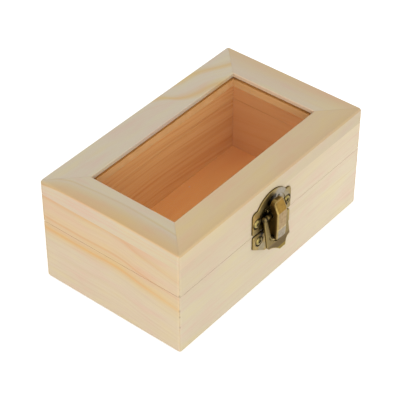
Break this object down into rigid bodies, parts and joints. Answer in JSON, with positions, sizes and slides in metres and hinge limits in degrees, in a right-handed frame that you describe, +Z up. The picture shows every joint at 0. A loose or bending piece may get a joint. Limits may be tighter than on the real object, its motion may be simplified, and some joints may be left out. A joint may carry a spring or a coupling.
{
  "type": "wooden box with window",
  "caption": "Hinged pine keepsake box with a clear window set in its lid frame and a draw latch on the front.",
  "frame": {"origin": "middle of the wooden box's underside", "axes": "+X along the front to the right, +Y from the front with the latch to the hinged back, +Z up"},
  "size_m": [0.15, 0.1018, 0.064],
  "materials": {
    "pine": "bare sanded pine",
    "pine_frame": "bare sanded pine with knot-free grain",
    "plywood": "bare thin plywood",
    "clear_pane": "clear polished sheet",
    "antique_bronze": "antiqued, dark in the hollows",
    "bronze_screw": "antiqued with bright rims"
  },
  "bodies": {
    "base": {"base_front_wall": "pine", "base_back_wall": "pine", "base_left_wall": "pine", "base_right_wall": "pine", "base_bottom_panel": "plywood", "latch_base_plate": "antique_bronze", "latch_base_screws": "bronze_screw", "lever_pin": "antique_bronze", "hinge_left_base_leaf": "antique_bronze", "hinge_right_base_leaf": "antique_bronze", "hinge_left_pin": "antique_bronze", "hinge_right_pin": "antique_bronze", "hinge_base_screws": "bronze_screw"},
    "lid": {"lid_front_wall": "pine", "lid_back_wall": "pine", "lid_left_wall": "pine", "lid_right_wall": "pine", "lid_front_rail": "pine_frame", "lid_back_rail": "pine_frame", "lid_left_rail": "pine_frame", "lid_right_rail": "pine_frame", "window_pane": "clear_pane", "latch_catch_plate": "antique_bronze", "latch_catch_screws": "bronze_screw", "hinge_left_lid_leaf": "antique_bronze", "hinge_right_lid_leaf": "antique_bronze", "hinge_lid_screws": "bronze_screw"},
    "lever": {"latch_lever": "antique_bronze", "claw_pin": "antique_bronze"},
    "claw": {"latch_claw": "antique_bronze"}
  },
  "joints": [
    {"name": "lid_hinge", "type": "hinge", "parent": "base", "child": "lid", "pos_m": [0, 0.0468, 0.03745], "axis": [-1, 0, 0], "range_deg": [0, 175]},
    {"name": "lever_pivot", "type": "hinge", "parent": "base", "child": "lever", "pos_m": [-0.00335, -0.04765, 0.04615], "axis": [-1, 0, 0], "range_deg": [0, 90]},
    {"name": "claw_pivot", "type": "hinge", "parent": "lever", "child": "claw", "pos_m": [-0.00335, -0.0493, 0.03295], "axis": [-1, 0, 0], "range_deg": [-90, 0]}
  ],
  "couplings": [
    {"joint": "claw_pivot", "follows": "lever_pivot", "ratio": -1}
  ]
}
